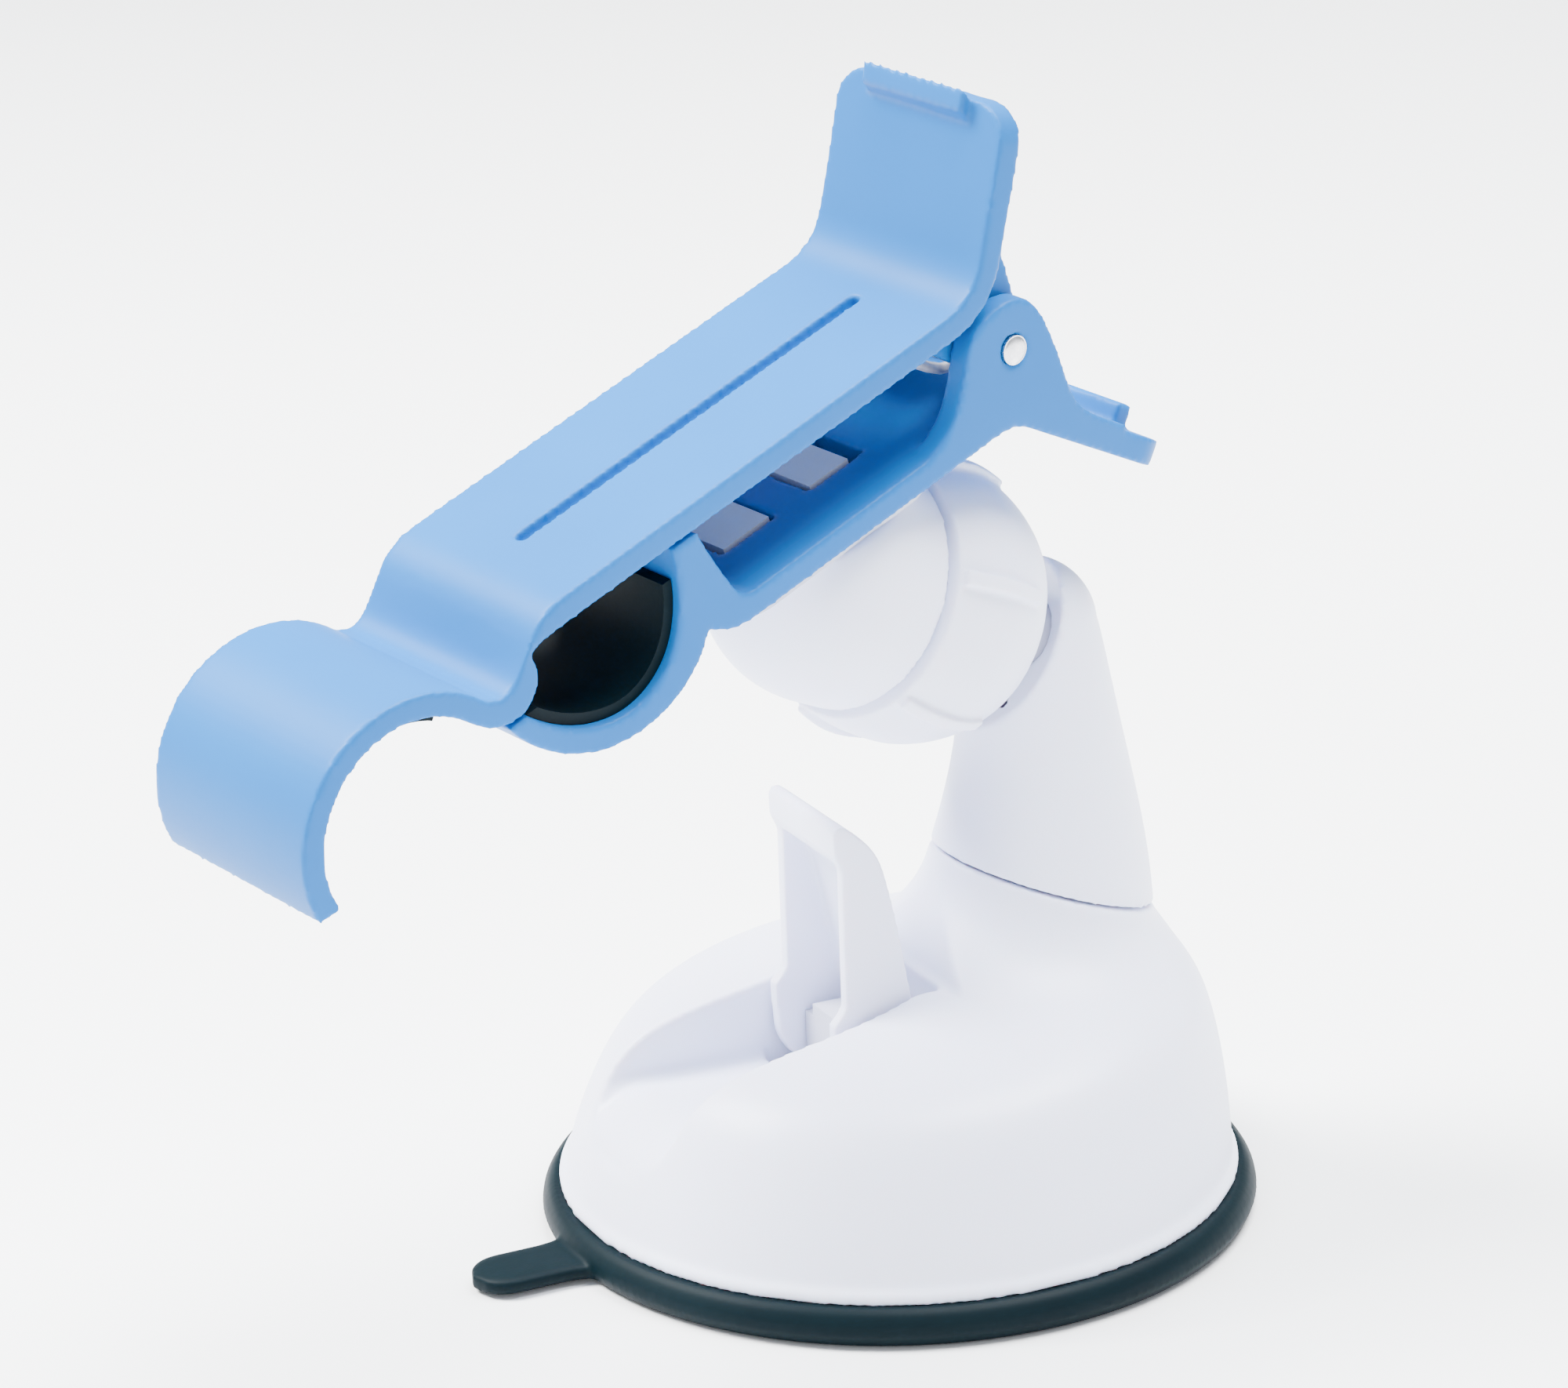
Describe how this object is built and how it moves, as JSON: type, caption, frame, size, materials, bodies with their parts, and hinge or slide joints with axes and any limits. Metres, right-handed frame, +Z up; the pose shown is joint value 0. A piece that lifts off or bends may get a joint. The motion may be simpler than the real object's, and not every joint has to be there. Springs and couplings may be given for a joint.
{
  "type": "suction stand with spring clip",
  "caption": "Suction-cup stand whose lever clamps the base, with a ball joint and locking ring carrying a spring clip that grips a phone.",
  "frame": {"origin": "centre of the suction face, on the surface that the stand is stuck to", "axes": "+Z up out of the suction face, -Y towards the lever and the pull tab, +Y towards the neck"},
  "size_m": [0.0794, 0.125, 0.1269],
  "materials": {
    "rubber": "smooth moulded rubber",
    "white_plastic": "satin white moulding",
    "blue_plastic": "satin blue moulding",
    "inner_plastic": "plain acetal",
    "steel": "plated steel",
    "spring_steel": "drawn wire"
  },
  "bodies": {
    "base": {"suction_pad": "rubber", "base_housing": "white_plastic", "guide_plate": "inner_plastic", "plate_screws": "steel", "cam_washer": "inner_plastic", "return_spring": "spring_steel", "wave_washer": "spring_steel"},
    "stem": {"suction_stem": "inner_plastic"},
    "lever": {"lever": "white_plastic", "lever_pin": "steel"},
    "arm": {"arm_shell": "white_plastic", "swivel_spigot": "inner_plastic", "swivel_screw": "steel", "ball_stud": "inner_plastic"},
    "ball_ring": {"ball_liner_back": "inner_plastic"},
    "ball_cup": {"ball_liner_front": "inner_plastic"},
    "head": {"head_socket": "white_plastic", "adapter_plate": "inner_plastic", "adapter_screws": "steel", "lower_jaw": "blue_plastic", "jaw_liner": "rubber", "hinge_pin": "steel", "torsion_spring": "spring_steel"},
    "nut": {"clamp_nut": "white_plastic"},
    "upper_jaw": {"upper_jaw": "blue_plastic", "hook_pad": "rubber"}
  },
  "joints": [
    {"name": "stem_lift", "type": "slide", "parent": "base", "child": "stem", "axis": [0, 0, 1], "range_m": [0, 0.0018], "deforming": ["return_spring"]},
    {"name": "lever_turn", "type": "hinge", "parent": "stem", "child": "lever", "pos_m": [0, -0.0046, 0.0198], "axis": [1, 0, 0], "range_deg": [0, 88]},
    {"name": "arm_swivel", "type": "hinge", "parent": "base", "child": "arm", "pos_m": [0, 0.0187, 0.0348], "axis": [0, 0.3355, 0.9421], "range_deg": [-45, 45]},
    {"name": "head_yaw", "type": "hinge", "parent": "arm", "child": "ball_ring", "pos_m": [0, 0.0024, 0.0693], "axis": [0, 0, 1], "range_deg": [-25, 5]},
    {"name": "head_pitch", "type": "hinge", "parent": "ball_ring", "child": "ball_cup", "pos_m": [0, 0.0024, 0.0693], "axis": [0.9744, 0.225, 0], "range_deg": [-12, 15]},
    {"name": "head_spin", "type": "hinge", "parent": "ball_cup", "child": "head", "pos_m": [0, 0.0024, 0.0693], "axis": [0.2565, -0.8754, 0.4097], "range_deg": [-30, 30]},
    {"name": "nut_turn", "type": "hinge", "parent": "head", "child": "nut", "pos_m": [0, 0.0024, 0.0693], "axis": [0.2565, -0.8754, 0.4097], "range_deg": [0, 180]},
    {"name": "jaw_open", "type": "hinge", "parent": "head", "child": "upper_jaw", "pos_m": [0.00124, 0.00612, 0.0996], "axis": [-0.9657, -0.2501, 0.0701], "range_deg": [0, 28], "stiffness_Nm_per_rad": 0.04, "springref_deg": -14.32}
  ],
  "couplings": [
    {"joint": "lever_turn", "follows": "stem_lift", "rad_per_m": 853.27}
  ]
}
